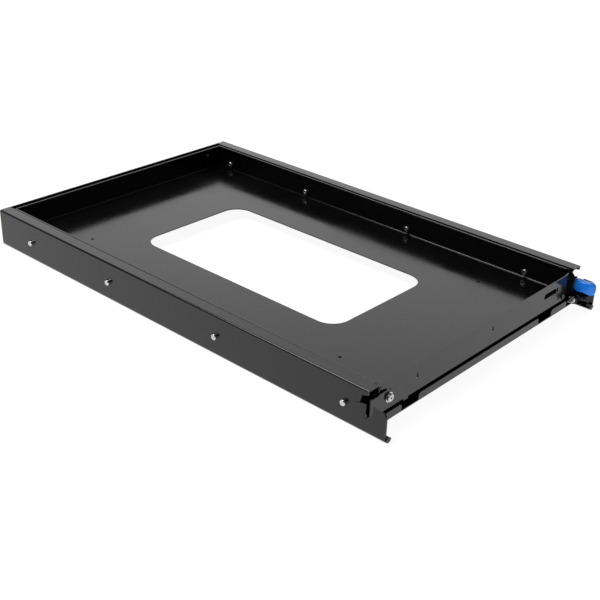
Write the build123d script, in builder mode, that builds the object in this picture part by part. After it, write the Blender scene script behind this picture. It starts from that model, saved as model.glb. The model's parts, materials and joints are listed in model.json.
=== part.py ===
from build123d import *
import math
import os

# All sizes are in millimetres. X is right, Y is to the rear, Z is up.

# Rails
rail_length = 711.0
rail_height = 55.0
overall_width = 444.5
side_space = 19.1
rail_wall = 2.0
flange_width = 17.0
flange_setback = 26.5
top_bend = 2.5
inner_bend = 0.5
hook_sweep = 160.0
ridge_sweep = 50.0
ridge_rear = 12.0

# Front ear of the rails and the notch beside it
ear_drop = 17.0
ear_corner = 8.0
notch_front = 18.5
notch_rear = 28.0
notch_low = 19.5
notch_slope = 9.0
hook_hole_drop = 6.0
hook_hole_slope = 2.0
hook_hole_height = 10.1
hook_hole_rear = 37.0
hook_hole_lean = 3.0
hook_hole_fall = 1.2
hook_hole_tail = 5.0
hook_hole_slit = 0.7
ramp_depth = 1.1
ramp_rear = 42.0
ramp_bottom = 15.0
ramp_height = 20.5

# Slide members, mirrored about the middle of the rail's height
ball_radius = 2.75
ball_play = 0.05
member_wall = 1.8
member_gap = 0.6
lip_angle = 30.0
low_lip_start = 242.0
lip_gap = 0.1
plate_drop = 0.8
middle_front = 38.0
inner_front = 50.0
member_rear = 14.0
balls_per_row = 9
ball_pitch = 33.0
cage_front = 210.0
cage_gap = 0.35
cage_thickness = 0.5
cage_height = 1.8
finger_length = 12.0
finger_height = 1.0

# Tray pan
sheet = 1.5
tray_front = 24.5
tray_rear_gap = 6.0
floor_top = 20.1
tray_drop = 1.1
front_wall_drop = 0.5
wall_curve_run = 24.65
wall_curve_depth = 5.5
wall_end_gap = 0.1
gap_lean = 5.15
front_wall_corner = 11.0
side_wall_front = 27.0
side_wall_corner = 8.0
hem_depth = 3.2
hem_thickness = 1.3
hem_round = 0.7
bend_round = 1.2
window_width = 190.0
window_length = 364.0
window_front = 184.0
window_corner = 27.0
floor_hole_radius = 2.25
floor_hole_x = 143.5
floor_hole_front = 132.0
floor_hole_spacing = 470.0
wall_slot_length = 34.0
wall_slot_height = 9.0
wall_slot_corner = 3.5
wall_slot_rise = 18.9
wall_slot_pitch = 150.5
wall_slot_shift = -2.0
tab_rise = 1.9
tab_height = 20.2
tab_gap = 3.25
gap_height = 7.3
gap_foot = 1.0
gap_slope = 1.5
gap_reach = 3.0
gap_inset = 19.15
drain_hole_radius = 2.0
drain_hole_inset = 35.0
drain_hole_rise = 4.4
under_tab_x = -156.0
under_tab_width = 8.0
under_tab_drop = 3.0

# Studs and screws
stud_front = 58.0
stud_gaps = [203.2, 203.2, 171.5]
stud_radius = 3.85
stud_height = 4.5
stud_neck_radius = 2.5
stud_round = 1.4
screw_offset = 38.1
screw_head_radius = 4.3
screw_head_height = 2.8
screw_head_round = 1.3
screw_radius = 2.0
screw_play = 0.1
nut_flats = 7.0
nut_thickness = 3.0
screw_over_nut = 0.8
recess_radius = 1.7
recess_depth = 1.2
front_screw_inset = 15.15
front_screw_rise = 13.4
front_washer_radius = 6.2
front_washer_height = 1.0
front_head_radius = 5.0
front_head_height = 3.0
front_head_round = 1.8

# Rear panel and crossbar
panel_wall = 2.0
panel_foot = 40.0
panel_gap = 0.2
hook_clear = 0.35
bar_front = 26.4
bar_depth = 70.0
bar_wall = 2.0
bar_lip = 10.7
bar_lip_inset = 5.15
bar_rear_lip = 8.0
bar_end_gap = 0.3
bar_rear_lip_inset = 10.0
bar_nose = 1.0
notch_x = 143.75
notch_width = 31.5
notch_corner = 4.0
notch_setback = 3.0
bead_size = 2.5
bead_length = 22.0
bead_inset = 6.0

# Bumpers and stops
bumper_radius = 7.0
bumper_gap = 0.4
bumper_stem_radius = 2.5
bumper_round = 1.2
bumper_x = 120.0
bumper_rise = 15.9
stop_inset = 5.0
stop_width = 10.5
stop_height = 27.0
stop_length = 8.0
plug_length = 5.8
plug_head_wall = 1.2
plug_head_gap = 0.15
plug_radius = 2.7

# Lever, on the right side only
lever_reach = 5.3
pivot_y = 21.0
pivot_drop = 6.7
pivot_radius = 2.5
pivot_play = 0.06
pivot_head_radius = 4.9
pivot_head_height = 3.0
pivot_head_round = 1.5
bracket_wall = 1.5
bracket_rear = 45.0
bracket_lobe = 7.2
bracket_front = 23.6
bracket_step = 12.0
bracket_shoulder = 3.5
bracket_height = 36.5
tab_bracket_inset = 1.0
corner_plate_setback = 6.2
corner_plate_width = 19.5
corner_plate_height = 25.8
rivet_spots_front = [(33.0, 14.0), (40.0, 4.0)]
rivet_radius = 2.0
lever_wall = 2.0
lever_offset = 10.25
hub_radius = 6.0
arm_waist = 0.4
arm_foot = 1.5
arm_flare = 2.0
arm_rear_inset = 3.0
ring_thickness = 1.2
ring_radius = 4.2
ring_gap = 0.15
cap_rear = 26.4
cap_rise = 3.2
cap_height = 18.8
cap_half = 4.8
cap_corner = 8.0
cap_waist = 2.2
cap_waist_radius = 14.0
cap_edge = 2.0
cap_pocket_gap = 0.1
pocket_inset = 6.0
spring_wire = 0.45
spring_radius = 3.9
spring_turns = 3
spring_gap = 0.95
spring_leg = 5.0
turn_gap = 0.2
lock_tab_front = 10.5
lock_tab_depth = 3.0
lock_tab_low = 1.0
lock_tab_height = 4.6
lock_tab_gap = 1.0
lock_pocket_front = 9.0
lock_pocket_length = 6.0
lock_pocket_height = 7.6
lock_pocket_depth = 1.0

os.makedirs("parts", exist_ok=True)

# Reference lines worked out from the sizes above
front_y = (lever_reach - rail_length) / 2
rear_y = front_y + rail_length
half_width = overall_width / 2
mid_z = rail_height / 2
race_radius = ball_radius + ball_play
race_offset = race_radius + rail_wall
member_rim = race_radius + member_wall
outer_rise = mid_z - race_offset
strip_rise = outer_rise - race_radius - member_wall
inner_rise = strip_rise - race_radius
plate_offset = side_space - member_wall
inner_offset = plate_offset - member_rim * math.cos(math.radians(lip_angle)) - lip_gap
middle_web = rail_wall + member_gap
lip_sweep = 180 - 2 * lip_angle
low_lip_sweep = 360 - low_lip_start - lip_angle
tray_half = half_width - side_space
inner_half = tray_half - sheet
tray_top = rail_height - tray_drop
tray_rear = rear_y - panel_wall - tray_rear_gap
tray_front_y = front_y + tray_front
floor_bottom = floor_top - sheet
wall_curve_turn = 2 * math.degrees(math.atan(wall_curve_depth / wall_curve_run))
wall_curve_radius = wall_curve_run / math.sin(math.radians(wall_curve_turn))
wall_curve_x = inner_half - wall_curve_run
wall_curve_y = tray_front_y + wall_curve_radius
front_wall_back = tray_front_y + sheet
tab_bottom = floor_top + tab_rise
tab_top = tab_bottom + tab_height
tab_end = half_width - tab_gap
front_screw_x = front_screw_inset - tray_half
front_screw_z = floor_top + front_screw_rise
pivot_z = floor_top - pivot_drop
cap_bottom = floor_top + cap_rise
member_end = rear_y - member_rear
stud_places = [front_y + stud_front + sum(stud_gaps[:count]) for count in range(len(stud_gaps) + 1)]
screw_places = [place + screw_offset for place in stud_places]
rivet_spots = [(front_y + setback, floor_top + rise) for setback, rise in rivet_spots_front]
bumper_z = floor_top + bumper_rise
sides = [(-1, "left"), (1, "right")]


# Outer rails: web, top flange and lower race in one formed strip
ear_height = rail_height - ear_drop
hook_hole_top = rail_height - hook_hole_drop
hook_hole_low = hook_hole_top - hook_hole_slope - hook_hole_height
lock_pocket_z = pivot_z - lock_tab_low + lock_tab_height / 2
for side, side_name in sides:
    front_plane = Plane(origin=(side * half_width, front_y, 0), x_dir=(-side, 0, 0), z_dir=(0, side, 0))
    ridge_plane = Plane(
        origin=(side * half_width, front_y + flange_setback, 0), x_dir=(-side, 0, 0), z_dir=(0, side, 0)
    )
    ridge_length = rail_length - flange_setback - ridge_rear
    with BuildPart() as outer_rail:
        with BuildSketch(front_plane):
            with BuildLine():
                Line((0, race_offset), (0, rail_height - top_bend))
                CenterArc((top_bend, rail_height - top_bend), top_bend, 90, 90)
                Line((top_bend, rail_height), (flange_width, rail_height))
                Line((flange_width, rail_height), (flange_width, rail_height - rail_wall))
                Line(
                    (flange_width, rail_height - rail_wall),
                    (rail_wall + inner_bend, rail_height - rail_wall),
                )
                CenterArc(
                    (rail_wall + inner_bend, rail_height - rail_wall - inner_bend), inner_bend, 90, 90
                )
                Line((rail_wall, rail_height - rail_wall - inner_bend), (rail_wall, race_offset))
                Line((rail_wall, race_offset), (0, race_offset))
            make_face()
            with BuildLine():
                hook_out = CenterArc(
                    (race_offset, race_offset), race_offset, 180, hook_sweep
                )
                hook_in = CenterArc((race_offset, race_offset), race_radius, 180, hook_sweep)
                Line(hook_out @ 0, hook_in @ 0)
                Line(hook_out @ 1, hook_in @ 1)
            make_face()
        extrude(amount=side * rail_length)
        with BuildSketch(ridge_plane):
            with BuildLine():
                ridge_out = CenterArc(
                    (race_offset, rail_height - race_offset), race_offset, 90 - ridge_sweep, ridge_sweep
                )
                ridge_in = CenterArc(
                    (race_offset, rail_height - race_offset), race_radius, 90 - ridge_sweep, ridge_sweep
                )
                Line(ridge_out @ 0, ridge_in @ 0)
                Line(ridge_out @ 1, ridge_in @ 1)
            make_face()
        extrude(amount=side * ridge_length)
        # The front ear is lower than the web, and the slide's end shows through a notch beside it
        with BuildSketch(Plane(origin=(side * half_width, front_y, 0), x_dir=(0, 1, 0), z_dir=(1, 0, 0))):
            with BuildLine():
                Polyline(
                    (-1, rail_height + 1),
                    (flange_setback, rail_height + 1),
                    (flange_setback, hook_hole_top),
                    (hook_hole_rear - hook_hole_lean, hook_hole_top - hook_hole_slope),
                    (hook_hole_rear, hook_hole_low),
                    (hook_hole_rear + hook_hole_tail, hook_hole_low - hook_hole_fall),
                    (hook_hole_rear + hook_hole_tail, hook_hole_low - hook_hole_fall - hook_hole_slit),
                    (notch_rear, ear_height),
                    (notch_rear, notch_low),
                    (notch_front, notch_low + notch_slope),
                    (notch_front, ear_height),
                    (ear_corner, ear_height),
                )
                CenterArc((ear_corner, ear_height - ear_corner), ear_corner, 90, 90)
                Polyline((0, ear_height - ear_corner), (-1, ear_height - ear_corner), (-1, rail_height + 1))
            make_face()
        extrude(amount=flange_width + 1, both=True, mode=Mode.SUBTRACT)
        # A shallow pressed ramp behind the notch
        with BuildSketch(Plane.XY.offset(ramp_bottom)):
            with Locations((side * half_width, front_y)):
                with BuildLine():
                    Polyline(
                        (0, ramp_rear),
                        (-side * ramp_depth, notch_rear - 0.1),
                        (side * rail_wall, notch_rear - 0.1),
                        (side * rail_wall, ramp_rear),
                        close=True,
                    )
                make_face()
        extrude(amount=ramp_height, mode=Mode.SUBTRACT)
        with BuildSketch(Plane(origin=(side * half_width, 0, 0), x_dir=(0, 1, 0), z_dir=(1, 0, 0))):
            with Locations(*[(place, mid_z) for place in stud_places]):
                Circle(stud_neck_radius)
        extrude(amount=rail_wall * 2, both=True, mode=Mode.SUBTRACT)
        if side == 1:
            pocket_y = front_y + lock_pocket_front + lock_pocket_length / 2
            with Locations((half_width - rail_wall + lock_pocket_depth / 2, pocket_y, lock_pocket_z)):
                Box(lock_pocket_depth, lock_pocket_length, lock_pocket_height, mode=Mode.SUBTRACT)
    outer_rail.part.label = "outer_rail_" + side_name
    export_step(outer_rail.part, "parts/outer_rail_" + side_name + ".step")


# Slide members: each half section is drawn above the middle height and mirrored down
for side, side_name in sides:
    middle_start = front_y + middle_front
    middle_plane = Plane(
        origin=(side * half_width, middle_start, mid_z), x_dir=(-side, 0, 0), z_dir=(0, side, 0)
    )
    web_rise = strip_rise + member_wall / 2
    flange_start = middle_web + member_wall / 2
    with BuildPart() as middle_member:
        with BuildSketch(middle_plane):
            with Locations((middle_web, 0)):
                Rectangle(member_wall, web_rise, align=(Align.MIN, Align.MIN))
            with Locations((flange_start, strip_rise)):
                Rectangle(inner_offset - flange_start, member_wall, align=(Align.MIN, Align.MIN))
            with BuildLine():
                low_out = CenterArc((race_offset, outer_rise), member_rim, low_lip_start, low_lip_sweep)
                low_in = CenterArc((race_offset, outer_rise), race_radius, low_lip_start, low_lip_sweep)
                Line(low_out @ 0, low_in @ 0)
                Line(low_out @ 1, low_in @ 1)
            make_face()
            with BuildLine():
                cover_out = CenterArc((inner_offset, inner_rise), member_rim, lip_angle, lip_sweep)
                cover_in = CenterArc((inner_offset, inner_rise), race_radius, lip_angle, lip_sweep)
                Line(cover_out @ 0, cover_in @ 0)
                Line(cover_out @ 1, cover_in @ 1)
            make_face()
            mirror(about=Plane.XZ)
        extrude(amount=side * (member_end - middle_start))
    middle_member.part.label = "middle_member_" + side_name
    export_step(middle_member.part, "parts/middle_member_" + side_name + ".step")

    inner_start = front_y + inner_front
    inner_plane = Plane(
        origin=(side * half_width, inner_start, mid_z), x_dir=(-side, 0, 0), z_dir=(0, side, 0)
    )
    with BuildPart() as inner_member:
        with BuildSketch(inner_plane):
            with Locations((plate_offset, 0)):
                Rectangle(member_wall, inner_rise - plate_drop, align=(Align.MIN, Align.MIN))
            with Locations((inner_offset, inner_rise - member_rim)):
                Rectangle(plate_offset - inner_offset + lip_gap, member_wall, align=(Align.MIN, Align.MIN))
            with BuildLine():
                seat_out = CenterArc((inner_offset, inner_rise), member_rim, 180 + lip_angle, lip_sweep)
                seat_in = CenterArc((inner_offset, inner_rise), race_radius, 180 + lip_angle, lip_sweep)
                Line(seat_out @ 0, seat_in @ 0)
                Line(seat_out @ 1, seat_in @ 1)
            make_face()
            mirror(about=Plane.XZ)
        extrude(amount=side * (member_end - inner_start))
        with BuildSketch(Plane(origin=(side * tray_half, 0, 0), x_dir=(0, 1, 0), z_dir=(1, 0, 0))):
            with Locations(*[(place, mid_z) for place in screw_places]):
                Circle(screw_radius + screw_play)
        extrude(amount=member_wall + 1, both=True, mode=Mode.SUBTRACT)
    inner_member.part.label = "inner_member_" + side_name
    export_step(inner_member.part, "parts/inner_member_" + side_name + ".step")


# Ball retainers: a thin strip beside each row, with a finger between each pair of balls
row_start = front_y + cage_front
row_length = balls_per_row * ball_pitch
finger_places = [row_start + ball_pitch * (count + 1) for count in range(balls_per_row - 1)]
ball_places = [row_start + ball_pitch * (count + 0.5) for count in range(balls_per_row)]
strip_shift = ball_radius + cage_gap + cage_thickness / 2
rows = [("outer", race_offset, outer_rise, 1), ("inner", inner_offset, inner_rise, -1)]
for side, side_name in sides:
    for row_name, row_offset, row_rise, strip_side in rows:
        strip_offset = row_offset + strip_side * strip_shift
        finger_end = row_offset - strip_side * ball_radius / 2
        strip_x = side * (half_width - strip_offset)
        finger_x = side * (half_width - (strip_offset + finger_end) / 2)
        finger_width = abs(finger_end - strip_offset)
        with BuildPart() as cage:
            for height in (mid_z + row_rise, mid_z - row_rise):
                with Locations((strip_x, row_start + row_length / 2, height)):
                    Box(cage_thickness, row_length, cage_height)
                with Locations(*[(finger_x, place, height) for place in finger_places]):
                    Box(finger_width, finger_length, finger_height)
        cage.part.label = row_name + "_ball_cage_" + side_name
        export_step(cage.part, "parts/" + row_name + "_ball_cage_" + side_name + ".step")

        ball_x = side * (half_width - row_offset)
        with BuildPart() as balls:
            for height in (mid_z + row_rise, mid_z - row_rise):
                with Locations(*[(ball_x, place, height) for place in ball_places]):
                    Sphere(ball_radius)
        balls.part.label = row_name + "_balls_" + side_name
        export_step(balls.part, "parts/" + row_name + "_balls_" + side_name + ".step")


# Tray floor with its window and holes
tray_back = tray_rear - sheet
with BuildPart() as tray_floor:
    with BuildSketch(Plane.XY.offset(floor_bottom)):
        with BuildLine():
            back_edge = Polyline(
                (wall_curve_x, front_wall_back),
                (-inner_half, front_wall_back),
                (-inner_half, tray_back),
                (inner_half, tray_back),
            )
            floor_bend = CenterArc(
                (wall_curve_x, wall_curve_y), wall_curve_radius - sheet, -90, wall_curve_turn
            )
            Polyline(back_edge @ 1, (inner_half, (floor_bend @ 1).Y), floor_bend @ 1)
        make_face()
        with Locations((0, front_y + window_front + window_length / 2)):
            RectangleRounded(window_width, window_length, window_corner, mode=Mode.SUBTRACT)
        hole_ys = [front_y + floor_hole_front, front_y + floor_hole_front + floor_hole_spacing]
        with Locations(*[(side * floor_hole_x, place) for side in (-1, 1) for place in hole_ys]):
            Circle(floor_hole_radius, mode=Mode.SUBTRACT)
    extrude(amount=sheet)
tray_floor.part.label = "tray_floor"
export_step(tray_floor.part, "parts/tray_floor.step")


# Side walls with hemmed tops
wall_start = front_y + side_wall_front
hem_start = wall_start + side_wall_corner
corner_z = tray_top - side_wall_corner
hem_width = sheet + hem_thickness
for side, side_name in sides:
    with BuildPart() as side_wall:
        with BuildSketch(Plane(origin=(side * tray_half, 0, 0), x_dir=(0, 1, 0), z_dir=(1, 0, 0))):
            with BuildLine():
                Polyline(
                    (wall_start, corner_z),
                    (wall_start, floor_bottom),
                    (tray_rear, floor_bottom),
                    (tray_rear, tray_top),
                    (hem_start, tray_top),
                )
                CenterArc((hem_start, corner_z), side_wall_corner, 90, 90)
            make_face()
            with Locations(*[(place, mid_z) for place in screw_places]):
                Circle(screw_radius + screw_play, mode=Mode.SUBTRACT)
            with Locations(*rivet_spots):
                Circle(rivet_radius, mode=Mode.SUBTRACT)
        extrude(amount=-side * sheet)
        hem_plane = Plane(
            origin=(side * tray_half, hem_start, 0), x_dir=(-side, 0, 0), z_dir=(0, side, 0)
        )
        with BuildSketch(hem_plane):
            with Locations((hem_width / 2, tray_top - hem_depth / 2)):
                Rectangle(hem_width, hem_depth)
        extrude(amount=side * (tray_rear - hem_width - hem_start))
        long_edges = side_wall.edges().filter_by(Axis.Y)
        fillet(long_edges.group_by(Axis.Z)[-1], hem_round)
        bend_edges = side_wall.edges().filter_by(Axis.Y).group_by(Axis.Z)[0]
        fillet(bend_edges.sort_by(Axis.X)[0 if side < 0 else -1], bend_round)
    side_wall.part.label = "tray_wall_" + side_name
    export_step(side_wall.part, "parts/tray_wall_" + side_name + ".step")


# Rear wall between the side walls
with BuildPart() as rear_wall:
    with Locations((0, tray_rear - sheet / 2, (floor_bottom + tray_top) / 2)):
        Box(inner_half * 2, sheet, tray_top - floor_bottom)
    with Locations((0, tray_rear - hem_width / 2, tray_top - hem_depth / 2)):
        Box(inner_half * 2, hem_width, hem_depth)
    fillet(rear_wall.edges().filter_by(Axis.X).group_by(Axis.Z)[-1], hem_round)
rear_wall.part.label = "tray_wall_rear"
export_step(rear_wall.part, "parts/tray_wall_rear.step")


# Front wall: its right end curves back, and its left end has a notch and a tab
front_wall_top = tray_top - front_wall_drop
wall_right = inner_half - wall_end_gap
with BuildPart() as front_wall:
    with BuildSketch(Plane.XY.offset(floor_bottom - under_tab_drop)):
        with BuildLine():
            wall_out = CenterArc((wall_curve_x, wall_curve_y), wall_curve_radius, -90, wall_curve_turn)
            wall_in = CenterArc(
                (wall_curve_x, wall_curve_y), wall_curve_radius - sheet, -90, wall_curve_turn
            )
            Line(wall_out @ 1, wall_in @ 1)
            Polyline(wall_in @ 0, (-tab_end, front_wall_back), (-tab_end, tray_front_y), wall_out @ 0)
        make_face()
    extrude(amount=front_wall_top - floor_bottom + under_tab_drop)
    with BuildSketch(Plane(origin=(0, tray_front_y + sheet, 0), x_dir=(1, 0, 0), z_dir=(0, -1, 0))):
        with BuildLine():
            Polyline(
                (wall_right, front_wall_top - front_wall_corner),
                (wall_right, floor_bottom),
                (-tray_half, floor_bottom),
                (-tray_half, tab_bottom),
                (-tab_end, tab_bottom),
                (-tab_end, tab_top),
                (gap_inset - tray_half, tab_top),
                (gap_inset - tray_half, tab_top + gap_foot),
                (gap_lean - tray_half, tab_top + gap_height - gap_slope),
                (-tray_half - gap_reach, tab_top + gap_height),
                (gap_lean - tray_half, front_wall_top),
                (wall_right - front_wall_corner, front_wall_top),
            )
            CenterArc(
                (wall_right - front_wall_corner, front_wall_top - front_wall_corner),
                front_wall_corner,
                0,
                90,
            )
        make_face()
        slot_places = [wall_slot_shift + wall_slot_pitch * step for step in (-1, 0, 1)]
        with Locations(*[(place, floor_top + wall_slot_rise) for place in slot_places]):
            RectangleRounded(wall_slot_length, wall_slot_height, wall_slot_corner, mode=Mode.SUBTRACT)
        with Locations((tray_half - drain_hole_inset, floor_top + drain_hole_rise)):
            Circle(drain_hole_radius, mode=Mode.SUBTRACT)
        with Locations((front_screw_x, front_screw_z)):
            Circle(screw_radius + screw_play, mode=Mode.SUBTRACT)
        with Locations((under_tab_x, floor_bottom - under_tab_drop / 2)):
            Rectangle(under_tab_width, under_tab_drop)
    extrude(amount=wall_curve_run, both=True, mode=Mode.INTERSECT)
front_wall.part.label = "front_wall"
export_step(front_wall.part, "parts/front_wall.step")


# Plate that stands behind the notch, in the front left corner of the floor
with BuildPart() as corner_plate:
    plate_y = front_wall_back + corner_plate_setback
    with Locations((corner_plate_width / 2 - inner_half, plate_y, floor_top + corner_plate_height / 2)):
        Box(corner_plate_width, sheet, corner_plate_height)
    right_edge = corner_plate.edges().filter_by(Axis.Y).group_by(Axis.Z)[-1].sort_by(Axis.X)[-1]
    fillet(right_edge, side_wall_corner)
corner_plate.part.label = "corner_plate"
export_step(corner_plate.part, "parts/corner_plate.step")


# Studs on the outside of the rails
for side, side_name in sides:
    with BuildPart() as studs:
        with BuildSketch(Plane(origin=(side * half_width, 0, 0), x_dir=(0, 1, 0), z_dir=(1, 0, 0))):
            with Locations(*[(place, mid_z) for place in stud_places]):
                Circle(stud_radius)
        extrude(amount=side * stud_height)
        tips = studs.edges().filter_by(GeomType.CIRCLE)
        outer_tips = [edge for edge in tips if abs(edge.center().X) > half_width + stud_height / 2]
        fillet(outer_tips, stud_round)
        with BuildSketch(Plane(origin=(side * half_width, 0, 0), x_dir=(0, 1, 0), z_dir=(1, 0, 0))):
            with Locations(*[(place, mid_z) for place in stud_places]):
                Circle(stud_neck_radius)
        extrude(amount=-side * rail_wall)
    studs.part.label = "rail_studs_" + side_name
    export_step(studs.part, "parts/rail_studs_" + side_name + ".step")


# Screws through the tray walls and inner members, with their nuts
for side, side_name in sides:
    screw_plane = Plane(origin=(side * inner_half, 0, 0), x_dir=(0, 1, 0), z_dir=(1, 0, 0))
    shank_length = sheet + member_wall + nut_thickness + screw_over_nut
    with BuildPart() as tray_screws:
        with BuildSketch(screw_plane):
            with Locations(*[(place, mid_z) for place in screw_places]):
                Circle(screw_head_radius)
        extrude(amount=-side * screw_head_height)
        head_rims = tray_screws.edges().filter_by(GeomType.CIRCLE)
        inward = [edge for edge in head_rims if abs(edge.center().X) < inner_half - screw_head_height / 2]
        fillet(inward, screw_head_round)
        with BuildSketch(screw_plane):
            with Locations(*[(place, mid_z) for place in screw_places]):
                Circle(screw_radius)
        extrude(amount=side * shank_length)
        recess_x = side * (inner_half - screw_head_height)
        with BuildSketch(Plane(origin=(recess_x, 0, 0), x_dir=(0, 1, 0), z_dir=(1, 0, 0))):
            with Locations(*[(place, mid_z) for place in screw_places]):
                RegularPolygon(recess_radius, 6)
        extrude(amount=side * recess_depth, mode=Mode.SUBTRACT)
    tray_screws.part.label = "tray_screws_" + side_name
    export_step(tray_screws.part, "parts/tray_screws_" + side_name + ".step")

    nut_x = side * (tray_half + member_wall)
    with BuildPart() as slide_nuts:
        with BuildSketch(Plane(origin=(nut_x, 0, 0), x_dir=(0, 1, 0), z_dir=(1, 0, 0))):
            with Locations(*[(place, mid_z) for place in screw_places]):
                RegularPolygon(nut_flats / 2, 6, major_radius=False)
                Circle(screw_radius, mode=Mode.SUBTRACT)
        extrude(amount=side * nut_thickness)
    slide_nuts.part.label = "slide_nuts_" + side_name
    export_step(slide_nuts.part, "parts/slide_nuts_" + side_name + ".step")


# Button screw, washer and nut on the left of the front wall
wall_plane = Plane(origin=(0, tray_front_y, 0), x_dir=(1, 0, 0), z_dir=(0, -1, 0))
with BuildPart() as front_washer:
    with BuildSketch(wall_plane):
        with Locations((front_screw_x, front_screw_z)):
            Circle(front_washer_radius)
            Circle(screw_radius + screw_play, mode=Mode.SUBTRACT)
    extrude(amount=front_washer_height)
front_washer.part.label = "front_washer"
export_step(front_washer.part, "parts/front_washer.step")

head_plane = Plane(origin=(0, tray_front_y - front_washer_height, 0), x_dir=(1, 0, 0), z_dir=(0, -1, 0))
with BuildPart() as front_screw:
    with BuildSketch(head_plane):
        with Locations((front_screw_x, front_screw_z)):
            Circle(front_head_radius)
    extrude(amount=front_head_height)
    fillet(front_screw.edges().filter_by(GeomType.CIRCLE).sort_by(Axis.Y)[0], front_head_round)
    with BuildSketch(head_plane):
        with Locations((front_screw_x, front_screw_z)):
            Circle(screw_radius)
    extrude(amount=-(front_washer_height + sheet + nut_thickness + screw_over_nut))
    tip_plane = head_plane.offset(front_head_height)
    with BuildSketch(tip_plane):
        with Locations((front_screw_x, front_screw_z)):
            RegularPolygon(recess_radius, 6)
    extrude(amount=-recess_depth, mode=Mode.SUBTRACT)
front_screw.part.label = "front_screw"
export_step(front_screw.part, "parts/front_screw.step")

nut_plane = Plane(origin=(0, tray_front_y + sheet, 0), x_dir=(1, 0, 0), z_dir=(0, -1, 0))
with BuildPart() as front_nut:
    with BuildSketch(nut_plane):
        with Locations((front_screw_x, front_screw_z)):
            RegularPolygon(nut_flats / 2, 6, major_radius=False)
            Circle(screw_radius, mode=Mode.SUBTRACT)
    extrude(amount=-nut_thickness)
front_nut.part.label = "front_nut"
export_step(front_nut.part, "parts/front_nut.step")


# Rear panel with a forward foot, cut clear of the rails' flange and race
panel_front = rear_y - panel_wall
panel_half = half_width - rail_wall - panel_gap
shoulder_half = half_width - flange_width - hook_clear
foot_half = half_width - 2 * race_offset - hook_clear
shoulder_z = rail_height - rail_wall - panel_gap
hook_top = 2 * race_offset + hook_clear
with BuildPart() as rear_panel:
    with BuildSketch(Plane(origin=(0, rear_y, 0), x_dir=(1, 0, 0), z_dir=(0, -1, 0))):
        with BuildLine():
            Polyline(
                (-foot_half, 0),
                (foot_half, 0),
                (foot_half, hook_top),
                (panel_half, hook_top),
                (panel_half, shoulder_z),
                (shoulder_half, shoulder_z),
                (shoulder_half, rail_height),
                (-shoulder_half, rail_height),
                (-shoulder_half, shoulder_z),
                (-panel_half, shoulder_z),
                (-panel_half, hook_top),
                (-foot_half, hook_top),
                close=True,
            )
        make_face()
        with Locations((-bumper_x, bumper_z), (bumper_x, bumper_z)):
            Circle(bumper_stem_radius, mode=Mode.SUBTRACT)
    extrude(amount=panel_wall)
    with Locations((0, rear_y - panel_foot / 2, panel_wall / 2)):
        Box(foot_half * 2, panel_foot, panel_wall)
rear_panel.part.label = "rear_panel"
export_step(rear_panel.part, "parts/rear_panel.step")

with BuildPart() as rear_bumpers:
    bumper_length = tray_rear_gap - bumper_gap
    with BuildSketch(Plane(origin=(0, panel_front, 0), x_dir=(1, 0, 0), z_dir=(0, -1, 0))):
        with Locations((-bumper_x, bumper_z), (bumper_x, bumper_z)):
            Circle(bumper_radius)
    extrude(amount=bumper_length)
    rims = rear_bumpers.edges().filter_by(GeomType.CIRCLE).group_by(Axis.Y)[0]
    fillet(rims, bumper_round)
    with BuildSketch(Plane(origin=(0, panel_front, 0), x_dir=(1, 0, 0), z_dir=(0, -1, 0))):
        with Locations((-bumper_x, bumper_z), (bumper_x, bumper_z)):
            Circle(bumper_stem_radius)
    extrude(amount=-panel_wall)
rear_bumpers.part.label = "rear_bumpers"
export_step(rear_bumpers.part, "parts/rear_bumpers.step")

with BuildPart() as slide_stops:
    for side in (-1, 1):
        stop_x = side * (half_width - stop_inset - stop_width / 2)
        with Locations((stop_x, panel_front - stop_length / 2, mid_z)):
            Box(stop_width, stop_length, stop_height)
slide_stops.part.label = "slide_stops"
export_step(slide_stops.part, "parts/slide_stops.step")

with BuildPart() as race_plugs:
    for side in (-1, 1):
        plug_x = side * (half_width - race_offset)
        with BuildSketch(Plane(origin=(0, front_y, 0), x_dir=(-1, 0, 0), z_dir=(0, 1, 0))):
            with Locations((plug_x, race_offset)):
                Circle(plug_radius)
        extrude(amount=plug_length)
        # The head covers the end of the race below its centre line, clear of the slide above
        with BuildSketch(Plane(origin=(0, front_y, 0), x_dir=(-1, 0, 0), z_dir=(0, 1, 0))):
            with Locations((plug_x, race_offset)):
                Circle(race_offset - plug_head_gap)
            with Locations((plug_x, race_offset)):
                Rectangle(2 * race_offset, race_offset, align=(Align.CENTER, Align.MIN), mode=Mode.SUBTRACT)
            with Locations((plug_x, race_offset)):
                Circle(plug_radius)
        extrude(amount=-plug_head_wall)
race_plugs.part.label = "race_plugs"
export_step(race_plugs.part, "parts/race_plugs.step")


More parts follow.
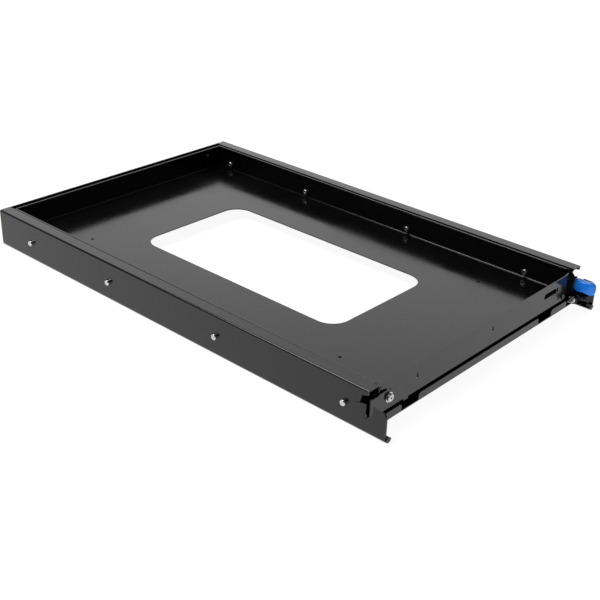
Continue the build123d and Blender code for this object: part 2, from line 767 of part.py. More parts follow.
# Front crossbar with its upright lip
bar_y = front_y + bar_front
bar_half = half_width - 2 * race_offset - bar_end_gap
bar_lip_half = tray_half - bar_lip_inset
with BuildPart() as front_crossbar:
    with Locations((0, bar_y + bar_depth / 2, bar_wall / 2)):
        Box(bar_half * 2, bar_depth, bar_wall)
    with Locations((0, bar_y + bar_depth - bar_wall / 2, bar_rear_lip / 2)):
        Box((bar_half - bar_rear_lip_inset) * 2, bar_wall, bar_rear_lip)
    with BuildSketch(Plane(origin=(0, bar_y + bar_wall, 0), x_dir=(1, 0, 0), z_dir=(0, -1, 0))):
        lip_edges = (
            (-bar_lip_half, -notch_x - notch_width / 2),
            (-notch_x + notch_width / 2, notch_x - notch_width / 2),
            (notch_x + notch_width / 2, bar_lip_half),
        )
        for lip_left, lip_right in lip_edges:
            with Locations(((lip_left + lip_right) / 2, bar_lip / 2)):
                Rectangle(lip_right - lip_left, bar_lip)
    extrude(amount=bar_wall)
    lip_tops = front_crossbar.edges().filter_by(Axis.Y).group_by(Axis.Z)[-1]
    fillet(lip_tops, notch_corner)
    with BuildSketch(Plane.XY):
        for place in (-notch_x, notch_x):
            with Locations((place, bar_y)):
                with BuildLine():
                    Polyline(
                        (-notch_width / 2, 0),
                        (-notch_width / 2 + notch_setback, notch_setback),
                        (notch_width / 2 - notch_setback, notch_setback),
                        (notch_width / 2, 0),
                        close=True,
                    )
                make_face()
    extrude(amount=bar_wall, mode=Mode.SUBTRACT)
    low_edges = front_crossbar.edges().filter_by(Axis.X).group_by(Axis.Z)[0]
    fillet(low_edges.group_by(Axis.Y)[0], bar_nose)
front_crossbar.part.label = "front_crossbar"
export_step(front_crossbar.part, "parts/front_crossbar.step")


# Weld beads that join the crossbar and the rear panel to the rails
bead_starts = [
    bar_y + bead_inset,
    bar_y + bar_depth - bead_length - bead_inset,
    rear_y - panel_foot + bead_inset,
]
with BuildPart() as weld_beads:
    for side in (-1, 1):
        for start in bead_starts:
            edge_half = bar_half if start < bar_y + bar_depth else foot_half
            bead_plane = Plane(origin=(side * half_width, start, 0), x_dir=(-side, 0, 0), z_dir=(0, side, 0))
            with BuildSketch(bead_plane):
                with Locations((half_width - edge_half + bar_end_gap / 2, bar_wall)):
                    Rectangle(bead_size, bead_size)
                with Locations((race_offset, race_offset)):
                    Circle(race_offset, mode=Mode.SUBTRACT)
                with Locations((half_width - edge_half, 0)):
                    Rectangle(bar_depth, bar_wall, align=(Align.MIN, Align.MIN), mode=Mode.SUBTRACT)
            extrude(amount=side * bead_length)
weld_beads.part.label = "weld_beads"
export_step(weld_beads.part, "parts/weld_beads.step")


# Lever bracket on the right, in line with the inner slide member
bracket_plane = Plane(origin=(tray_half, front_y, 0), x_dir=(0, 1, 0), z_dir=(1, 0, 0))
with BuildPart() as lever_bracket:
    with BuildSketch(bracket_plane):
        with Locations((pivot_y, pivot_z)):
            Circle(bracket_lobe)
        with BuildLine():
            Polyline(
                (pivot_y - bracket_lobe, pivot_z),
                (bracket_front, pivot_z + bracket_step),
                (bracket_front, pivot_z + bracket_height - bracket_shoulder),
                (bracket_front + bracket_shoulder, pivot_z + bracket_height),
                (bracket_rear, pivot_z + bracket_height),
                (bracket_rear, pivot_z),
                (pivot_y + bracket_lobe, pivot_z),
                close=True,
            )
        make_face()
        with Locations((pivot_y, pivot_z)):
            Circle(pivot_radius, mode=Mode.SUBTRACT)
    extrude(amount=bracket_wall)
    with BuildSketch(Plane(origin=(tray_half, 0, 0), x_dir=(0, 1, 0), z_dir=(1, 0, 0))):
        with Locations(*rivet_spots):
            Circle(rivet_radius)
    extrude(amount=bracket_wall, mode=Mode.SUBTRACT)
lever_bracket.part.label = "lever_bracket"
export_step(lever_bracket.part, "parts/lever_bracket.step")


# Bracket behind the left end tab
with BuildPart() as tab_bracket:
    with BuildSketch(Plane.XY.offset(tab_bottom + tab_bracket_inset)):
        with BuildLine():
            Polyline(
                (tab_bracket_inset - tab_end, tray_front_y + sheet),
                (-tray_half, tray_front_y + sheet),
                (-tray_half, front_y + bracket_rear),
                (-tray_half - bracket_wall, front_y + bracket_rear),
                (-tray_half - bracket_wall, tray_front_y + sheet + bracket_wall),
                (tab_bracket_inset - tab_end, tray_front_y + sheet + bracket_wall),
                close=True,
            )
        make_face()
    extrude(amount=tab_height - 2 * tab_bracket_inset)
    with BuildSketch(Plane(origin=(-tray_half, 0, 0), x_dir=(0, 1, 0), z_dir=(1, 0, 0))):
        with Locations(*rivet_spots):
            Circle(rivet_radius)
    extrude(amount=-bracket_wall, mode=Mode.SUBTRACT)
tab_bracket.part.label = "tab_bracket"
export_step(tab_bracket.part, "parts/tab_bracket.step")

with BuildPart() as bracket_rivets:
    for side in (-1, 1):
        with BuildSketch(Plane(origin=(side * inner_half, 0, 0), x_dir=(0, 1, 0), z_dir=(1, 0, 0))):
            with Locations(*rivet_spots):
                Circle(rivet_radius)
        extrude(amount=side * (sheet + bracket_wall))
bracket_rivets.part.label = "bracket_rivets"
export_step(bracket_rivets.part, "parts/bracket_rivets.step")


# Pivot pin, retaining ring and torsion spring
lever_inner_x = half_width - lever_offset - lever_wall
lever_outer_x = half_width - lever_offset
with BuildPart() as pivot_pin:
    with BuildSketch(bracket_plane):
        with Locations((pivot_y, pivot_z)):
            Circle(pivot_head_radius)
    extrude(amount=-pivot_head_height)
    head_edge = pivot_pin.edges().filter_by(GeomType.CIRCLE).sort_by(Axis.X)[0]
    fillet(head_edge, pivot_head_round)
    with BuildSketch(bracket_plane):
        with Locations((pivot_y, pivot_z)):
            Circle(pivot_radius)
    extrude(amount=lever_outer_x + ring_gap + ring_thickness + 1 - tray_half)
    with BuildSketch(bracket_plane.offset(-pivot_head_height)):
        with Locations((pivot_y, pivot_z)):
            RegularPolygon(recess_radius, 6)
    extrude(amount=recess_depth, mode=Mode.SUBTRACT)
pivot_pin.part.label = "lever_pivot_pin"
export_step(pivot_pin.part, "parts/lever_pivot_pin.step")

ring_plane = Plane(origin=(lever_outer_x + ring_gap, front_y, 0), x_dir=(0, 1, 0), z_dir=(1, 0, 0))
with BuildPart() as retaining_ring:
    with BuildSketch(ring_plane):
        with Locations((pivot_y, pivot_z)):
            Circle(ring_radius)
            Circle(pivot_radius, mode=Mode.SUBTRACT)
        with Locations((pivot_y, pivot_z - ring_radius)):
            Rectangle(pivot_radius, ring_radius, mode=Mode.SUBTRACT)
    extrude(amount=ring_thickness)
retaining_ring.part.label = "retaining_ring"
export_step(retaining_ring.part, "parts/retaining_ring.step")

coil_start = tray_half + bracket_wall + spring_gap
coil_pitch = 2 * spring_wire + turn_gap
coil_height = coil_pitch * spring_turns
with BuildPart() as lever_spring:
    with BuildLine() as spring_path:
        coil = Helix(
            pitch=coil_pitch,
            height=coil_height,
            radius=spring_radius,
            center=(coil_start, front_y + pivot_y, pivot_z),
            direction=(1, 0, 0),
        )
        Line(coil @ 0 - (coil % 0) * spring_leg, coil @ 0)
        Line(coil @ 1, coil @ 1 + (coil % 1) * spring_leg)
    with BuildSketch(Plane(origin=coil @ 0 - (coil % 0) * spring_leg, z_dir=coil % 0)):
        Circle(spring_wire)
    sweep(path=spring_path.wires()[0])
lever_spring.part.label = "lever_spring"
export_step(lever_spring.part, "parts/lever_spring.step")


# Lever arm with its lock tab, and the cap that fits over it
lever_plane = Plane(origin=(lever_inner_x, front_y, 0), x_dir=(0, 1, 0), z_dir=(1, 0, 0))
pocket_bottom = cap_bottom + pocket_inset
pocket_top = cap_bottom + cap_height - pocket_inset
arm_outline = [
    (pivot_y - hub_radius + arm_waist, pivot_z + arm_foot),
    (pivot_y - hub_radius - arm_flare, cap_bottom + arm_flare),
    (pocket_inset, pocket_bottom),
    (pocket_inset, pocket_top),
    (cap_rear - pocket_inset - arm_foot, pocket_top),
    (cap_rear - arm_rear_inset, cap_bottom + arm_flare),
    (pivot_y + hub_radius - arm_waist, pivot_z + arm_foot),
]
tab_z = pivot_z - lock_tab_low
lock_tab_reach = lever_offset - rail_wall - lock_tab_gap
with BuildPart() as lever_arm:
    with BuildSketch(lever_plane):
        with BuildLine():
            Polyline(*arm_outline, close=True)
        make_face()
        with Locations((pivot_y, pivot_z)):
            Circle(hub_radius)
        with BuildLine():
            Polyline(
                (pivot_y - hub_radius + arm_flare, tab_z + lock_tab_height + 1),
                (lock_tab_front, tab_z + lock_tab_height),
                (lock_tab_front, tab_z),
                (pivot_y - hub_radius + arm_flare, tab_z - arm_flare),
                close=True,
            )
        make_face()
        with Locations((pivot_y, pivot_z)):
            Circle(pivot_radius + pivot_play, mode=Mode.SUBTRACT)
    extrude(amount=lever_wall)
    tab_y = front_y + lock_tab_front + lock_tab_depth / 2
    with Locations((lever_outer_x + lock_tab_reach / 2, tab_y, tab_z + lock_tab_height / 2)):
        Box(lock_tab_reach, lock_tab_depth, lock_tab_height)
lever_arm.part.label = "lever_arm"
export_step(lever_arm.part, "parts/lever_arm.step")

cap_middle_y = (cap_rear - lever_reach) / 2
cap_middle_z = cap_bottom + cap_height / 2
cap_middle_x = (lever_inner_x + lever_outer_x) / 2
cap_length = cap_rear + lever_reach
cap_plane = Plane(origin=(cap_middle_x - cap_half, front_y, 0), x_dir=(0, 1, 0), z_dir=(1, 0, 0))
with BuildPart() as lever_cap:
    with BuildSketch(cap_plane):
        with Locations((cap_middle_y, cap_middle_z)):
            RectangleRounded(cap_length, cap_height, cap_corner)
        waist_rise = cap_height / 2 - cap_waist + cap_waist_radius
        with Locations((cap_middle_y, cap_middle_z + waist_rise), (cap_middle_y, cap_middle_z - waist_rise)):
            Circle(cap_waist_radius, mode=Mode.SUBTRACT)
    extrude(amount=cap_half * 2)
    faces_x = lever_cap.faces().filter_by(Axis.X)
    fillet(faces_x.edges(), cap_edge)
    with BuildSketch(lever_plane.offset(-cap_pocket_gap)):
        with BuildLine():
            Polyline(*arm_outline, close=True)
        make_face()
        offset(amount=cap_pocket_gap, kind=Kind.INTERSECTION)
    extrude(amount=lever_wall + 2 * cap_pocket_gap, mode=Mode.SUBTRACT)
lever_cap.part.label = "lever_cap"
export_step(lever_cap.part, "parts/lever_cap.step")
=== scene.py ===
import json
import math
import bmesh
import bpy
from mathutils import Matrix, Vector


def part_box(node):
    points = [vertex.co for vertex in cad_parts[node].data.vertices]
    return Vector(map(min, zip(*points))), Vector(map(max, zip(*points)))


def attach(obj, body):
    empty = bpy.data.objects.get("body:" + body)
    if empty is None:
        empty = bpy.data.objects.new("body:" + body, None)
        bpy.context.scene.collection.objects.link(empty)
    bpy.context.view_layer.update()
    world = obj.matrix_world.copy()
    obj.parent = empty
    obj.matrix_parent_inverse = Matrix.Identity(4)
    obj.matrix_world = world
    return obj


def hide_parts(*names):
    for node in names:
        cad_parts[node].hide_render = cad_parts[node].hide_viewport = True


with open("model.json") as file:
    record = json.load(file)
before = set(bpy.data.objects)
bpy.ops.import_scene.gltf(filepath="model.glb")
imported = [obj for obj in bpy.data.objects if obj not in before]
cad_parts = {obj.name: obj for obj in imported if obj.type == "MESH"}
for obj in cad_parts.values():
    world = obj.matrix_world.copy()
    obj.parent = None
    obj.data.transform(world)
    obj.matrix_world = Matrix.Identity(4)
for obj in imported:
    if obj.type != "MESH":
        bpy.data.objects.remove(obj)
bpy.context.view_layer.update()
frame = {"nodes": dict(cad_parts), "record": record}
scene = bpy.context.scene
nodes = frame["nodes"]
print("frame loaded:", len(nodes), "nodes")

# Shared shader groups


def newGroup(name, inputs, outputs):
    tree = bpy.data.node_groups.new(name, "ShaderNodeTree")
    for label, kind, default in inputs:
        socket = tree.interface.new_socket(label, in_out="INPUT", socket_type=kind)
        if default is not None:
            socket.default_value = default
    for label, kind in outputs:
        tree.interface.new_socket(label, in_out="OUTPUT", socket_type=kind)
    return tree, tree.nodes.new("NodeGroupInput"), tree.nodes.new("NodeGroupOutput")


def mathNode(tree, operation, first, second=None, third=None, clamp=False):
    node = tree.nodes.new("ShaderNodeMath")
    node.operation = operation
    node.use_clamp = clamp
    for slot, value in enumerate((first, second, third)):
        if value is None:
            continue
        if isinstance(value, (int, float)):
            node.inputs[slot].default_value = value
        else:
            tree.links.new(value, node.inputs[slot])
    return node.outputs[0]


def spanNode(tree, value, fromLow, fromHigh, toLow, toHigh):
    node = tree.nodes.new("ShaderNodeMapRange")
    tree.links.new(value, node.inputs["Value"])
    for label, number in (("From Min", fromLow), ("From Max", fromHigh), ("To Min", toLow), ("To Max", toHigh)):
        if isinstance(number, (int, float)):
            node.inputs[label].default_value = number
        else:
            tree.links.new(number, node.inputs[label])
    return node.outputs["Result"]


def objectSpace(tree, scale=None):
    coords = tree.nodes.new("ShaderNodeTexCoord")
    if scale is None:
        return coords.outputs["Object"]
    mapping = tree.nodes.new("ShaderNodeMapping")
    mapping.inputs["Scale"].default_value = scale
    tree.links.new(coords.outputs["Object"], mapping.inputs["Vector"])
    return mapping.outputs["Vector"]


def noiseNode(tree, vector, scale, detail=2.0, roughness=0.5):
    node = tree.nodes.new("ShaderNodeTexNoise")
    tree.links.new(vector, node.inputs["Vector"])
    node.inputs["Detail"].default_value = detail
    node.inputs["Roughness"].default_value = roughness
    if isinstance(scale, (int, float)):
        node.inputs["Scale"].default_value = scale
    else:
        tree.links.new(scale, node.inputs["Scale"])
    return node.outputs["Fac"]


# Fine skin of a sprayed or moulded surface: a height, and a slow mask for handling marks
skinGroup, skinIn, skinOut = newGroup(
    "surfaceSkin",
    [("Grain Scale", "NodeSocketFloat", 900.0), ("Mark Scale", "NodeSocketFloat", 9.0)],
    [("Height", "NodeSocketFloat"), ("Marks", "NodeSocketFloat"), ("Specks", "NodeSocketFloat")],
)
skinSpace = objectSpace(skinGroup)
skinFine = noiseNode(skinGroup, skinSpace, skinIn.outputs["Grain Scale"], 2.0, 0.45)
skinBroad = noiseNode(skinGroup, skinSpace, mathNode(skinGroup, "MULTIPLY", skinIn.outputs["Grain Scale"], 0.13), 1.0)
skinGroup.links.new(
    mathNode(skinGroup, "MULTIPLY_ADD", skinBroad, 0.55, mathNode(skinGroup, "MULTIPLY", skinFine, 0.45)),
    skinOut.inputs["Height"],
)
skinMarks = noiseNode(skinGroup, skinSpace, skinIn.outputs["Mark Scale"], 5.0, 0.62)
skinGroup.links.new(spanNode(skinGroup, skinMarks, 0.42, 0.68, 0.0, 1.0), skinOut.inputs["Marks"])
skinDots = noiseNode(skinGroup, skinSpace, mathNode(skinGroup, "MULTIPLY", skinIn.outputs["Grain Scale"], 0.6), 0.0)
skinGroup.links.new(spanNode(skinGroup, skinDots, 0.77, 0.82, 0.0, 1.0), skinOut.inputs["Specks"])

# Long lines left by rolling or drawing, along Y
rollGroup, rollIn, rollOut = newGroup(
    "rollLines",
    [("Line Scale", "NodeSocketFloat", 1500.0)],
    [("Height", "NodeSocketFloat"), ("Streaks", "NodeSocketFloat")],
)
rollSpace = objectSpace(rollGroup, (1.0, 0.012, 1.0))
rollFine = noiseNode(rollGroup, rollSpace, rollIn.outputs["Line Scale"], 3.0, 0.6)
rollGroup.links.new(rollFine, rollOut.inputs["Height"])
rollBroad = noiseNode(rollGroup, rollSpace, mathNode(rollGroup, "MULTIPLY", rollIn.outputs["Line Scale"], 0.15), 2.0)
rollGroup.links.new(spanNode(rollGroup, rollBroad, 0.35, 0.65, 0.0, 1.0), rollOut.inputs["Streaks"])

# Dust that settles on faces that look up
dustGroup, dustIn, dustOut = newGroup(
    "settledDust", [("Patch Scale", "NodeSocketFloat", 14.0)], [("Dust", "NodeSocketFloat")]
)
dustNormal = dustGroup.nodes.new("ShaderNodeNewGeometry")
dustSplit = dustGroup.nodes.new("ShaderNodeSeparateXYZ")
dustGroup.links.new(dustNormal.outputs["Normal"], dustSplit.inputs["Vector"])
dustUp = spanNode(dustGroup, dustSplit.outputs["Z"], 0.6, 1.0, 0.0, 1.0)
dustPatch = noiseNode(dustGroup, objectSpace(dustGroup), dustIn.outputs["Patch Scale"], 6.0, 0.7)
dustSoft = spanNode(dustGroup, dustPatch, 0.35, 0.75, 0.25, 1.0)
dustGroup.links.new(mathNode(dustGroup, "MULTIPLY", dustUp, dustSoft), dustOut.inputs["Dust"])
print("shader groups built")

# Materials


def newMaterial(name):
    material = bpy.data.materials.new(name)
    material.use_nodes = True
    return material, material.node_tree, material.node_tree.nodes["Principled BSDF"]


def useGroup(tree, group, **values):
    node = tree.nodes.new("ShaderNodeGroup")
    node.node_tree = group
    for label, value in values.items():
        node.inputs[label.replace("_", " ")].default_value = value
    return node


def mixColour(tree, factor, first, second):
    node = tree.nodes.new("ShaderNodeMix")
    node.data_type = "RGBA"
    tree.links.new(factor, node.inputs["Factor"])
    for label, value in (("A", first), ("B", second)):
        socket = [s for s in node.inputs if s.name == label and s.type == "RGBA"][0]
        if isinstance(value, tuple):
            socket.default_value = (*value, 1.0)
        else:
            tree.links.new(value, socket)
    return [s for s in node.outputs if s.type == "RGBA"][0]


def bumpNode(tree, height, strength, distance, shader):
    node = tree.nodes.new("ShaderNodeBump")
    node.inputs["Strength"].default_value = strength
    node.inputs["Distance"].default_value = distance
    tree.links.new(height, node.inputs["Height"])
    tree.links.new(node.outputs["Normal"], shader.inputs["Normal"])


coatLook = {
    "colour": (0.0016, 0.0016, 0.0018),
    "markColour": (0.0026, 0.0026, 0.0028),
    "dustColour": (0.02, 0.0196, 0.019),
    # lighter colour for bevelled edges: partly coat worn thin, partly a painted highlight along the edges
    "edgeHighlightWearColour": (0.012, 0.012, 0.0125),
    "roughLow": 0.11,
    "roughHigh": 0.17,
    "grainScale": 700.0,
    "grainDepth": 0.00003,
    "grainStrength": 0.16,
}


def makeCoat():
    material, tree, shader = newMaterial("coatedSteel")
    look = coatLook
    skin = useGroup(tree, skinGroup, Grain_Scale=look["grainScale"], Mark_Scale=11.0)
    dust = useGroup(tree, dustGroup, Patch_Scale=16.0)
    colour = mixColour(tree, skin.outputs["Marks"], look["colour"], look["markColour"])
    dusty = mathNode(tree, "MULTIPLY", dust.outputs["Dust"], 0.12)
    colour = mixColour(tree, dusty, colour, look["dustColour"])
    # bevel faces take the lighter edge colour where the marks fall: partly wear, partly a painted highlight on the
    # edges
    edge = tree.nodes.new("ShaderNodeAttribute")
    edge.attribute_name = "edgeWearAndHighlight"
    wearAndHighlight = mathNode(tree, "MULTIPLY", edge.outputs["Fac"], skin.outputs["Marks"])
    colour = mixColour(tree, wearAndHighlight, colour, look["edgeHighlightWearColour"])
    tree.links.new(colour, shader.inputs["Base Color"])
    rough = spanNode(tree, skin.outputs["Marks"], 0.0, 1.0, look["roughLow"], look["roughHigh"])
    rough = mathNode(tree, "MULTIPLY_ADD", dust.outputs["Dust"], 0.03, rough)
    tree.links.new(rough, shader.inputs["Roughness"])
    bumpNode(tree, skin.outputs["Height"], look["grainStrength"], look["grainDepth"], shader)
    shader.inputs["IOR"].default_value = 1.46
    return material


def makeMetal(name, colour, streakColour, roughLow, roughHigh, lineScale, strength):
    material, tree, shader = newMaterial(name)
    roll = useGroup(tree, rollGroup, Line_Scale=lineScale)
    skin = useGroup(tree, skinGroup, Grain_Scale=1400.0, Mark_Scale=30.0)
    tone = mixColour(tree, roll.outputs["Streaks"], colour, streakColour)
    tree.links.new(tone, shader.inputs["Base Color"])
    shader.inputs["Metallic"].default_value = 1.0
    streaks = mathNode(tree, "MULTIPLY", roll.outputs["Streaks"], 0.4)
    mixed = mathNode(tree, "MULTIPLY_ADD", skin.outputs["Marks"], 0.6, streaks)
    tree.links.new(spanNode(tree, mixed, 0.0, 1.0, roughLow, roughHigh), shader.inputs["Roughness"])
    grain = mathNode(tree, "MULTIPLY", skin.outputs["Height"], 0.3)
    height = mathNode(tree, "MULTIPLY_ADD", roll.outputs["Height"], 0.7, grain)
    bumpNode(tree, height, strength, 0.00004, shader)
    return material


def makePlastic(name, colour, markColour, roughLow, roughHigh, grainScale, strength, sheen=0.0):
    material, tree, shader = newMaterial(name)
    skin = useGroup(tree, skinGroup, Grain_Scale=grainScale, Mark_Scale=60.0)
    tree.links.new(mixColour(tree, skin.outputs["Marks"], colour, markColour), shader.inputs["Base Color"])
    tree.links.new(spanNode(tree, skin.outputs["Marks"], 0.0, 1.0, roughLow, roughHigh), shader.inputs["Roughness"])
    bumpNode(tree, skin.outputs["Height"], strength, 0.00005, shader)
    shader.inputs["IOR"].default_value = 1.48
    shader.inputs["Sheen Weight"].default_value = sheen
    return material


finishes = {
    "coated_steel": makeCoat(),
    "slide_steel": makeMetal("slideSteel", (0.055, 0.055, 0.058), (0.085, 0.085, 0.088), 0.24, 0.38, 1500.0, 0.25),
    "retainer": makeMetal("retainerStrip", (0.60, 0.52, 0.27), (0.66, 0.60, 0.36), 0.25, 0.38, 1800.0, 0.2),
    "ball_steel": makeMetal("ballSteel", (0.80, 0.80, 0.82), (0.84, 0.84, 0.86), 0.04, 0.09, 900.0, 0.02),
    "bright_zinc": makeMetal("brightZinc", (0.50, 0.50, 0.51), (0.62, 0.62, 0.63), 0.14, 0.26, 1600.0, 0.18),
    "spring_steel": makeMetal("springSteel", (0.42, 0.42, 0.44), (0.5, 0.5, 0.52), 0.22, 0.34, 2400.0, 0.2),
    "blue_plastic": makePlastic("bluePlastic", (0.010, 0.22, 0.90), (0.012, 0.25, 0.95), 0.14, 0.22, 1300.0, 0.08),
    "rubber": makePlastic("bumperRubber", (0.014, 0.014, 0.014), (0.022, 0.021, 0.02), 0.62, 0.8, 1800.0, 0.4, 0.1),
    "nylon": makePlastic("stopNylon", (0.02, 0.02, 0.021), (0.03, 0.03, 0.03), 0.42, 0.55, 1500.0, 0.25),
}
slotOf = {sub["node"]: sub["material_slot"] for sub in frame["record"]["subparts"]}
for nodeName, node in nodes.items():
    finish = finishes[slotOf[nodeName]]
    node.data.materials.clear()
    node.data.materials.append(finish)
print("materials built and assigned")

# Sheet metal with softened edges

sheetLook = {
    "outer_rail_left": ("outerRailLeft", 0.00022, 2),
    "outer_rail_right": ("outerRailRight", 0.00022, 2),
    "tray_floor": ("trayFloor", 0.00018, 2),
    "tray_wall_left": ("trayWallLeft", 0.00018, 2),
    "tray_wall_right": ("trayWallRight", 0.00018, 2),
    "tray_wall_rear": ("trayWallRear", 0.00018, 2),
    "front_wall": ("frontWall", 0.00022, 2),
    "corner_plate": ("cornerPlate", 0.00018, 2),
    "front_crossbar": ("frontCrossbar", 0.00022, 2),
    "rear_panel": ("rearPanel", 0.00022, 2),
    "lever_bracket": ("leverBracket", 0.00018, 2),
    "tab_bracket": ("tabBracket", 0.00018, 2),
    "lever_arm": ("leverArm", 0.00018, 2),
    "middle_member_left": ("middleMemberLeft", 0.00012, 1),
    "middle_member_right": ("middleMemberRight", 0.00012, 1),
    "inner_member_left": ("innerMemberLeft", 0.00012, 1),
    "inner_member_right": ("innerMemberRight", 0.00012, 1),
}


def cleanCopy(nodeName):
    # merged copy of a node's triangles, with flat faces joined again
    copied = nodes[nodeName].data.copy()
    stored = copied.attributes.get("custom_normal")
    if stored:
        copied.attributes.remove(stored)
    bm = bmesh.new()
    bm.from_mesh(copied)
    bpy.data.meshes.remove(copied)
    bmesh.ops.remove_doubles(bm, verts=bm.verts, dist=0.000002)
    bmesh.ops.dissolve_degenerate(bm, edges=bm.edges, dist=0.000002)
    bmesh.ops.dissolve_limit(
        bm, angle_limit=math.radians(0.4), verts=bm.verts, edges=bm.edges, use_dissolve_boundaries=False
    )
    return bm


def finishPiece(bm, pieceName, body, slotName, replaced, smoothAngle=35.0, weighted=True):
    mesh = bpy.data.meshes.new(pieceName)
    for face in bm.faces:
        face.smooth = True
    for edge in bm.edges:
        if len(edge.link_faces) == 2 and edge.calc_face_angle(0.0) > math.radians(smoothAngle):
            edge.smooth = False
    bm.to_mesh(mesh)
    bm.free()
    piece = bpy.data.objects.new(pieceName, mesh)
    scene.collection.objects.link(piece)
    mesh.materials.append(finishes[slotName])
    if weighted:
        modifier = piece.modifiers.new("evenNormals", "WEIGHTED_NORMAL")
        modifier.keep_sharp = True
    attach(piece, body)
    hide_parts(*replaced)
    return piece


bodyOf = {name: body for body, members in frame["record"]["behaviour"]["bodies"].items() for name in members}
for nodeName, (pieceName, width, segments) in sheetLook.items():
    bm = cleanCopy(nodeName)
    corners = [e for e in bm.edges if len(e.link_faces) == 2 and e.calc_face_angle(0.0) > math.radians(40)]
    # bevel faces are flagged for the lighter edge colour, which is partly wear and partly a painted highlight
    wearAndHighlight = bm.faces.layers.float.new("edgeWearAndHighlight")
    made = bmesh.ops.bevel(
        bm, geom=corners, offset=width, offset_type="OFFSET", affect="EDGES", segments=segments,
        profile=0.5, material=-1, clamp_overlap=True,
    )
    for face in made["faces"]:
        face[wearAndHighlight] = 1.0
    print("softened", nodeName, len(corners), "edges,", len(bm.faces), "faces")
    finishPiece(bm, pieceName, bodyOf[nodeName], slotOf[nodeName], [nodeName])

# Bend along the foot of each wall

bendLook = {"radius": 0.0016, "steps": 5, "lift": 0.00002}


def makeBend(pieceName, start, end, across, body):
    # concave quarter round between a wall and the floor: start and end lie in the inner corner
    look = bendLook
    bm = bmesh.new()
    corner = bm.verts.new(start + (Vector((0, 0, -1)) - across) * look["lift"])
    rim = []
    for step in range(look["steps"] + 1):
        turn = math.pi / 2 * step / look["steps"]
        rise = look["radius"] * (1 - math.sin(turn))
        reach = look["radius"] * (1 - math.cos(turn))
        rim.append(bm.verts.new(start + Vector((0, 0, rise)) + across * reach))
    section = bm.faces.new([corner] + rim)
    grown = bmesh.ops.extrude_face_region(bm, geom=[section])
    moved = [item for item in grown["geom"] if isinstance(item, bmesh.types.BMVert)]
    bmesh.ops.translate(bm, verts=moved, vec=end - start)
    bmesh.ops.recalc_face_normals(bm, faces=bm.faces)
    return finishPiece(bm, pieceName, body, "coated_steel", [])


floorLow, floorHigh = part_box("tray_floor")
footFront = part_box("corner_plate")[1].y
footTop = floorHigh.z
leftFront = Vector((floorLow.x, footFront, footTop))
leftRear = Vector((floorLow.x, floorHigh.y, footTop))
rightFront = Vector((floorHigh.x, footFront, footTop))
rightRear = Vector((floorHigh.x, floorHigh.y, footTop))
makeBend("footBendLeft", leftFront, leftRear, Vector((1, 0, 0)), "tray")
makeBend("footBendRight", rightFront, rightRear, Vector((-1, 0, 0)), "tray")
makeBend("footBendRear", leftRear, rightRear, Vector((0, -1, 0)), "tray")
print("foot bends made")

# Dark rubber collars pressed into the floor holes from below: a dark part put in as painted shade, so the holes read
# black

holeShadeLook = {
    "wall": 0.0012,
    "drop": 0.0042,
    "tuck": 0.00004,
    "steps": 40,
    "radius": 0.00225,
    "across": 0.1435,
    "front": 0.132,
    "spacing": 0.47,
    "webFront": -0.35285,
}


def makeHoleShade(pieceName, place):
    look = holeShadeLook
    bm = bmesh.new()
    inner = look["radius"]
    outer = inner + look["wall"]
    low = place.z - look["drop"]
    high = place.z - look["tuck"]
    profile = [(inner, high), (outer, high), (outer, low), (inner, low)]
    ring = [bm.verts.new((place.x + reach, place.y, height)) for reach, height in profile]
    edges = [bm.edges.new((ring[index], ring[(index + 1) % len(ring)])) for index in range(len(ring))]
    bmesh.ops.spin(
        bm, geom=ring + edges, cent=place, axis=(0, 0, 1), angle=2 * math.pi, steps=look["steps"], use_merge=True
    )
    bmesh.ops.recalc_face_normals(bm, faces=bm.faces)
    # the black rubber finish is painted shade inside the floor holes
    return finishPiece(bm, pieceName, "tray", "rubber", [])


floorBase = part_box("tray_floor")[0].z
for row, rowName in ((0, "Front"), (1, "Rear")):
    for side, sideName in ((-1, "Left"), (1, "Right")):
        along = holeShadeLook["webFront"] + holeShadeLook["front"] + row * holeShadeLook["spacing"]
        spot = Vector((side * holeShadeLook["across"], along, floorBase))
        makeHoleShade("floorHoleShade" + rowName + sideName, spot)
print("floor sleeves made")

# Lever cap

capLook = {
    "cuts": 5,
    "waist": 0.2,
    "waistPlace": 0.0,
    "waistLength": 0.36,
    "nose": 0.94,
    "length": 1.02,
    "height": 1.05,
    "roundness": 3.6,
    "levels": 2,
}


def makeCap():
    low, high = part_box("lever_cap")
    middle = (low + high) / 2
    size = high - low
    bm = bmesh.new()
    bmesh.ops.create_cube(bm, size=1.0)
    bmesh.ops.subdivide_edges(bm, edges=bm.edges, cuts=capLook["cuts"], use_grid_fill=True)
    for vert in bm.verts:
        reach = max(abs(part) for part in vert.co)
        power = capLook["roundness"]
        vert.co *= reach / sum(abs(part) ** power for part in vert.co) ** (1 / power)
        along = vert.co.y * 2.0
        offset = (along - capLook["waistPlace"]) / capLook["waistLength"]
        pinch = 1.0 - capLook["waist"] * math.exp(-offset ** 2)
        taper = capLook["nose"] + (1.0 - capLook["nose"]) * (0.5 - along / 2)
        vert.co.z *= pinch * (taper if vert.co.z > 0 else 1.0)
    grown = (size.x, size.y * capLook["length"], size.z * capLook["height"])
    bmesh.ops.scale(bm, verts=bm.verts, vec=grown)
    bmesh.ops.translate(bm, verts=bm.verts, vec=middle)
    piece = finishPiece(bm, "leverCap", "lever", "blue_plastic", ["lever_cap"], weighted=False)
    for edge in piece.data.edges:
        edge.use_edge_sharp = False
    modifier = piece.modifiers.new("roundCap", "SUBSURF")
    modifier.levels = capLook["levels"]
    modifier.render_levels = capLook["levels"]
    return piece


makeCap()
print("lever cap made")

# Floor, light and camera

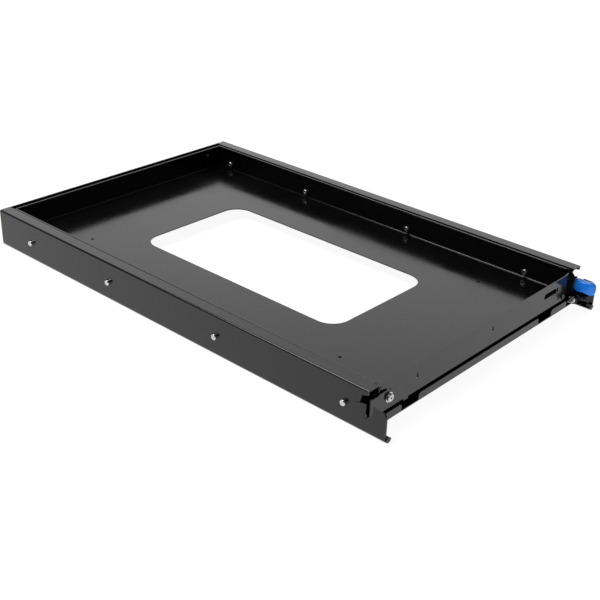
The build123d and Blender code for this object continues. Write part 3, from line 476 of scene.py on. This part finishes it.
studioLook = {
    "floorSize": 60.0,
    "floorColour": (0.16, 0.16, 0.16),
    "floorGlow": 0.93,
    "skyColour": (1.3, 1.3, 1.3),
    "dimColour": (0.16, 0.16, 0.165),
    "brightSide": (0.745, 0.667, 0.0),
    "dimFrom": 0.28,
    "brightFrom": 0.95,
    "worldStrength": 1.0,
}


def makeStudio():
    look = studioLook
    bm = bmesh.new()
    bmesh.ops.create_grid(bm, x_segments=1, y_segments=1, size=look["floorSize"] / 2)
    bmesh.ops.translate(bm, verts=bm.verts, vec=(0.0, 0.0, -0.0002))
    mesh = bpy.data.meshes.new("studioFloor")
    bm.to_mesh(mesh)
    bm.free()
    floor = bpy.data.objects.new("studioFloor", mesh)
    scene.collection.objects.link(floor)
    material, tree, shader = newMaterial("studioFloor")
    shader.inputs["Base Color"].default_value = (*look["floorColour"], 1.0)
    shader.inputs["Roughness"].default_value = 0.9
    shader.inputs["Specular IOR Level"].default_value = 0.0
    shader.inputs["Emission Color"].default_value = (1.0, 1.0, 1.0, 1.0)
    shader.inputs["Emission Strength"].default_value = look["floorGlow"]
    mesh.materials.append(material)
    world = bpy.data.worlds.new("softStudio")
    world.use_nodes = True
    sky = world.node_tree
    background = sky.nodes["Background"]
    background.inputs["Strength"].default_value = look["worldStrength"]
    direction = sky.nodes.new("ShaderNodeTexCoord")
    facing = sky.nodes.new("ShaderNodeVectorMath")
    facing.operation = "DOT_PRODUCT"
    facing.inputs[1].default_value = look["brightSide"]
    sky.links.new(direction.outputs["Generated"], facing.inputs[0])
    share = spanNode(sky, facing.outputs["Value"], look["dimFrom"], look["brightFrom"], 0.0, 1.0)
    sky.links.new(mixColour(sky, share, look["dimColour"], look["skyColour"]), background.inputs["Color"])
    scene.world = world
    scene.view_settings.view_transform = "Standard"


lightLook = {"place": (-0.9, 0.75, 1.9), "target": (0.0, 0.0, 0.0), "width": 1.4, "height": 0.9, "power": 34.0}


def makeLight(name, look):
    light = bpy.data.lights.new(name, "AREA")
    light.shape = "RECTANGLE"
    light.size = look["width"]
    light.size_y = look["height"]
    light.energy = look["power"]
    lamp = bpy.data.objects.new(name, light)
    scene.collection.objects.link(lamp)
    lamp.location = look["place"]
    aim = Vector(look["target"]) - Vector(look["place"])
    lamp.rotation_euler = aim.to_track_quat("-Z", "Y").to_euler()
    return lamp


cameraLook = {
    "place": (-0.9881, -0.9116, 0.6574),
    "forward": (0.6617, 0.5928, -0.4591),
    "right": (0.6673, -0.7448, 0.0),
    "roll": 1.8,
    "lens": 64.24,
    "sensor": 36.0,
    "nearest": 0.05,
}


def makeCamera():
    look = cameraLook
    forward = Vector(look["forward"]).normalized()
    right = Vector(look["right"]).normalized()
    up = right.cross(forward).normalized()
    roll = math.radians(look["roll"])
    turnedRight = right * math.cos(roll) + up * math.sin(roll)
    turnedUp = up * math.cos(roll) - right * math.sin(roll)
    data = bpy.data.cameras.new("mainCamera")
    data.lens = look["lens"]
    data.sensor_width = look["sensor"]
    data.clip_start = look["nearest"]
    camera = bpy.data.objects.new("mainCamera", data)
    scene.collection.objects.link(camera)
    turn = Matrix((turnedRight, turnedUp, -forward)).transposed().to_4x4()
    camera.matrix_world = Matrix.Translation(look["place"]) @ turn
    scene.camera = camera


makeStudio()
makeLight("topSoftbox", lightLook)
makeCamera()
print("floor, lights and camera made")
